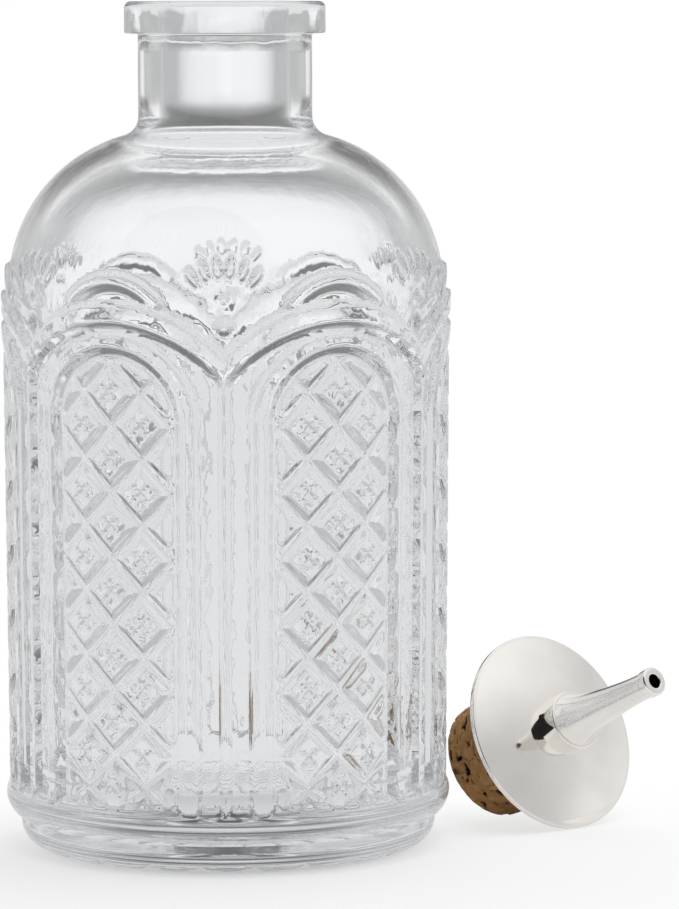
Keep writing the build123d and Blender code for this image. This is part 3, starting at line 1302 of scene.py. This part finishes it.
    def stem_tube(self) -> bmesh.types.BMesh:
        """Tube through cork and disc."""
        bottom = self.under(self.cork_top_radius) - self.cork_length - self.stem_projection
        top = self.over(self.skirt_radius) + self.stem_engagement
        outline = Outline(self.stem_bore, bottom)
        outline.line(self.stem_radius, bottom).line(self.stem_radius, top).line(self.stem_bore, top)
        shell = solid_ring(outline, self.stem_steps)
        rims = [edge for edge in shell.edges if edge.calc_face_angle(0.0) > self.stem_rim_angle]
        bmesh.ops.bevel(
            shell,
            geom=rims,
            offset=self.stem_bevel,
            affect="EDGES",
            segments=2,
            profile=0.5,
            material=-1,
        )
        return self.with_painted_bore_shade(shell, self.stem_bore, top)

    def pit_at(self, where: Vector) -> float:
        """How deep a bark pit is at a place.

        Args:
            where: Place on the upright cork, in millimetres.

        Returns:
            0 between the pits and 1 on the floor of one.
        """
        short = Vector((where.x, where.y, where.z * self.pit_shortness))
        pit = noise.noise(short * self.pit_scale)
        pit += self.pit_detail_share * noise.noise(short * self.pit_detail_scale)
        return held((pit - self.pit_start) * self.pit_steepness)

    def cork_stopper(self) -> bmesh.types.BMesh:
        """Tapered cork with bark pits pressed into its side."""
        top = self.under(self.cork_top_radius)
        bottom = top - self.cork_length
        bore = self.stem_radius + self.clearance
        chamfer = self.cork_chamfer
        outline = Outline(bore, bottom)
        outline.line(self.cork_end_radius - chamfer, bottom, self.cork_end_rings)
        outline.line(self.cork_end_radius, bottom + chamfer, self.cork_chamfer_rings)
        outline.line(self.cork_top_radius, top, self.cork_side_rings)
        outline.line(bore, top, self.cork_top_rings)
        shell = solid_ring(outline, self.cork_steps)
        mark = shell.verts.layers.float.new(Mark.PIT.value)
        for vert in shell.verts:
            if hypot(vert.co.x, vert.co.y) > bore * self.pit_clear_bores and vert.co.z < top - chamfer:
                where = vert.co / MM
                share = self.pit_at(where)
                rough = (0.5 + 0.5 * noise.noise(where * self.bark_scale)) * self.bark_depth
                vert.co -= vert.normal * (share * self.pit_depth + rough)
                vert[mark] = share
        bmesh.ops.recalc_face_normals(shell, faces=shell.faces)
        return shell

    def build(self) -> None:
        """Make and place all four pieces."""
        metal = PolishedMetal()
        self.put(self.cap_disc(), "domed_disc", "cap_disc", metal)
        self.put(self.pour_spout(), "tapered_spout", "pour_spout", metal)
        self.put(self.stem_tube(), "inner_stem", "stem_tube", metal)
        self.put(self.cork_stopper(), "pitted_cork", "cork_stopper", NaturalCork())


@dataclass(frozen=True)
class FloorFinish(Finish):
    """White sweep that keeps soft shadows near the object and turns pure white behind it.

    Glass and metal see a painted glow on it instead, whose tones from front to back stand for the room's
    light and shade, and a dimmer glow far back at the sides.
    """

    name: str = "white_sweep"
    colour: Colour = (0.94, 0.94, 0.94, 1.0)
    glow_reach: Reach = (-0.06, 0.05)
    near_glow: float = 0.15
    # Dimmer painted glow that glass and metal see far back at the sides
    dim_tone: float = 0.5
    dim_reach: Reach = (0.01, 0.6)
    dim_depth: Reach = (0.7, 1.5)
    front: float = -0.5
    back: float = 2.0
    # Painted glow that glass and metal see on the floor, from front to back
    tones: Stops = (
        (0.0, 0.2),
        (0.16, 0.5),
        (0.2, 0.82),
        (0.26, 0.79),
        (0.5, 0.79),
        (0.6, 0.85),
        (0.78, 1.0),
    )

    def fill(self, tree: Tree) -> None:
        """Add a matt white that fades into a plain glow with distance.

        Args:
            tree: The material's tree.
        """
        across, away, _ = tree.axes(tree.place())
        reach = self.back - self.front
        # Glass and metal see the painted glow; the camera sees plain white
        tone = tree.tones(away * (1 / reach) - self.front / reach, self.tones)
        dim = (across * across).between(*self.dim_reach) * away.between(*self.dim_depth)
        colour = tree.blend(dim, tone, grey(self.dim_tone))
        colour = tree.blend(tree.ray("Camera"), colour, WHITE)
        share = away.between(*self.glow_reach) * (1 - self.near_glow) + self.near_glow
        seen = tree.ray("Camera") + tree.ray("Glossy") + tree.ray("Transmission")
        matt = tree.add("ShaderNodeBsdfDiffuse", None, {"Color": self.colour})
        glow = tree.add("ShaderNodeEmission", None, {"Color": colour, "Strength": 1.0})
        ends = {0: share * seen, 1: matt.outputs[0], 2: glow.outputs[0]}
        mix = tree.add("ShaderNodeMixShader", None, ends)
        tree.add("ShaderNodeOutputMaterial", None, {"Surface": mix.outputs[0]})


@dataclass
class Studio:
    """Floor, world and lamp.

    The world's tones are pairs of height and tone, with a height of 0 straight down, one half
    level and 1 straight up. The front is the camera's side.
    """

    floor_size: float = 6.0
    floor_drop: float = 0.02 * MM
    lamp_size: float = 0.5
    lamp_energy: float = 1.2
    lamp_place: tuple[float, float, float] = (0.15, -0.1, 0.6)
    daylight: float = 0.8

    # What glass shows: straight behind, a little to the side, and far to the side
    refracted: Stops = (
        (0.5, 1.0),
        (0.53, 0.92),
        (0.56, 0.4),
        (0.59, 0.16),
        (0.68, 0.14),
        (0.74, 0.5),
        (0.8, 0.92),
        (0.94, 1.0),
        (1.0, 0.8),
    )
    low_side: Stops = (
        (0.5, 0.52),
        (0.55, 0.46),
        (0.59, 0.16),
        (0.68, 0.14),
        (0.74, 0.5),
        (0.8, 0.92),
        (1.0, 0.9),
    )
    far_side: Stops = ((0.5, 0.5), (0.6, 0.6), (0.66, 0.85), (0.8, 1.0), (1.0, 0.8))
    middle_reach: Reach = (0.0, 0.06)
    side_reach: Reach = (0.04, 0.3)

    # What metal shows: the room, a dimmer front, the same as glass behind, and a round dark card
    mirrored: Stops = ((0.5, 0.9), (0.6, 0.8), (0.7, 0.7), (0.82, 0.88), (0.9, 1.0))
    mirrored_front: float = 0.6
    front_reach: Reach = (0.05, -0.5)
    front_fade: Reach = (0.9, 0.7)
    mirrored_back: Reach = (0.7, 0.86)
    dark_card: float = 0.02
    card_reach: Reach = (0.79, 0.8)
    card_aside: float = radians(20)
    card_height: float = radians(28)

    def floor(self) -> None:
        """Lay the floor under the object."""
        sheet = bmesh.new()
        bmesh.ops.create_grid(sheet, x_segments=2, y_segments=2, size=self.floor_size / 2)
        floor = finished(sheet, "floor", FloorFinish())
        floor.location.z = -self.floor_drop

    def through_glass(self, tree: Tree, across: Value, height: Value) -> Value:
        """What glass shows of the world.

        Args:
            tree: The world's tree.
            across: The direction's X.
            height: The direction's height, from 0 to 1.

        Returns:
            The grey.
        """
        aside = across * across
        behind = tree.tones(height, self.refracted)
        beside = tree.tones(height, self.low_side)
        shown = tree.blend(aside.between(*self.middle_reach), behind, beside)
        return tree.blend(aside.between(*self.side_reach), shown, tree.tones(height, self.far_side))

    def card(self, across: Value, ahead: Value, up: Value) -> Value:
        """The dark card, which hangs behind the camera, up and to its left.

        Args:
            across: The direction's X.
            ahead: The direction's Y.
            up: The direction's Z.

        Returns:
            1 towards the card and 0 elsewhere.
        """
        level = cos(self.card_height)
        towards = up * sin(self.card_height) - ahead * (level * cos(self.card_aside))
        towards = towards - across * (level * sin(self.card_aside))
        return towards.between(*self.card_reach)

    def world(self) -> None:
        """Light everything softly, with a tone of its own for each kind of light ray."""
        world = bpy.data.worlds.new("studio")
        bpy.context.scene.world = world
        tree = Tree(world)
        across, ahead, up = tree.axes(tree.value("ShaderNodeTexCoord", "Generated"))
        height = up * 0.5 + 0.5
        refracted = self.through_glass(tree, across, height)
        mirrored = tree.tones(height, self.mirrored)
        front = ahead.between(*self.front_reach) * height.between(*self.front_fade)
        mirrored = tree.blend(front, mirrored, grey(self.mirrored_front))
        mirrored = tree.blend(ahead.between(*self.mirrored_back), mirrored, refracted)
        mirrored = tree.blend(self.card(across, ahead, up), mirrored, grey(self.dark_card))
        seen = tree.blend(tree.ray("Transmission"), mirrored, refracted)
        seen = tree.blend(tree.ray("Camera"), seen, WHITE)
        colour = tree.blend(tree.ray("Diffuse"), seen, grey(self.daylight))
        sky = tree.add("ShaderNodeBackground", None, {"Color": colour, "Strength": 1.0})
        tree.add("ShaderNodeOutputWorld", None, {"Surface": sky.outputs[0]})

    def lamp(self) -> None:
        """Hang a large soft lamp over the object, which glass and metal don't show."""
        light = bpy.data.lights.new("overhead", "AREA")
        light.shape = "SQUARE"
        light.size = self.lamp_size
        light.energy = self.lamp_energy
        lamp = bpy.data.objects.new("overhead", light)
        lamp.location = self.lamp_place
        lamp.visible_glossy = False
        lamp.visible_transmission = False
        lamp.rotation_euler = (-lamp.location).to_track_quat("-Z", "Y").to_euler()
        bpy.context.scene.collection.objects.link(lamp)

    def build(self) -> None:
        """Set up floor, world and lamp."""
        self.floor()
        self.world()
        self.lamp()


@dataclass
class Viewpoint:
    """The photograph's camera.

    Its focal length, the bottle's offset and the horizon's row are in pixels of the photograph,
    its bearing and roll in degrees and its sensor's width in millimetres.
    """

    focal: float = 4744.0
    distance: float = 652.0 * MM
    height: float = 118.4 * MM
    bearing: float = 0.6
    bottle_offset: float = 113.2
    horizon: float = -17.8
    roll: float = -0.13
    sensor: float = 36.0
    nearest: float = 0.05
    farthest: float = 20.0

    def build(self) -> None:
        """Make the camera and aim it."""
        data = bpy.data.cameras.new("camera")
        data.sensor_width = self.sensor
        data.lens = self.focal / PHOTO_HEIGHT * self.sensor
        data.clip_start = self.nearest
        data.clip_end = self.farthest
        camera = bpy.data.objects.new("camera", data)
        bearing = radians(self.bearing)
        camera.location = (self.distance * sin(bearing), -self.distance * cos(bearing), self.height)
        aside = bearing - atan2(self.bottle_offset, self.focal)
        pitch = atan2(PHOTO_HEIGHT / 2 - self.horizon, self.focal)
        ahead = Vector((-sin(aside) * cos(pitch), cos(aside) * cos(pitch), -sin(pitch)))
        turn = ahead.to_track_quat("-Z", "Y").to_matrix() @ Matrix.Rotation(radians(self.roll), 3, "Z")
        camera.rotation_euler = turn.to_euler()
        bpy.context.scene.collection.objects.link(camera)
        bpy.context.scene.camera = camera


def main() -> None:
    """Build the object, its studio and its camera."""
    logging.basicConfig(level=logging.INFO)
    scene = bpy.context.scene
    scene.view_settings.view_transform = "Standard"
    scene.cycles.max_bounces = GLASS_BOUNCES
    scene.cycles.transmission_bounces = GLASS_BOUNCES
    scene.cycles.glossy_bounces = GLASS_BOUNCES
    GlassBottle().build()
    Dasher().build()
    Studio().build()
    Viewpoint().build()


if __name__ == "__main__":
    main()
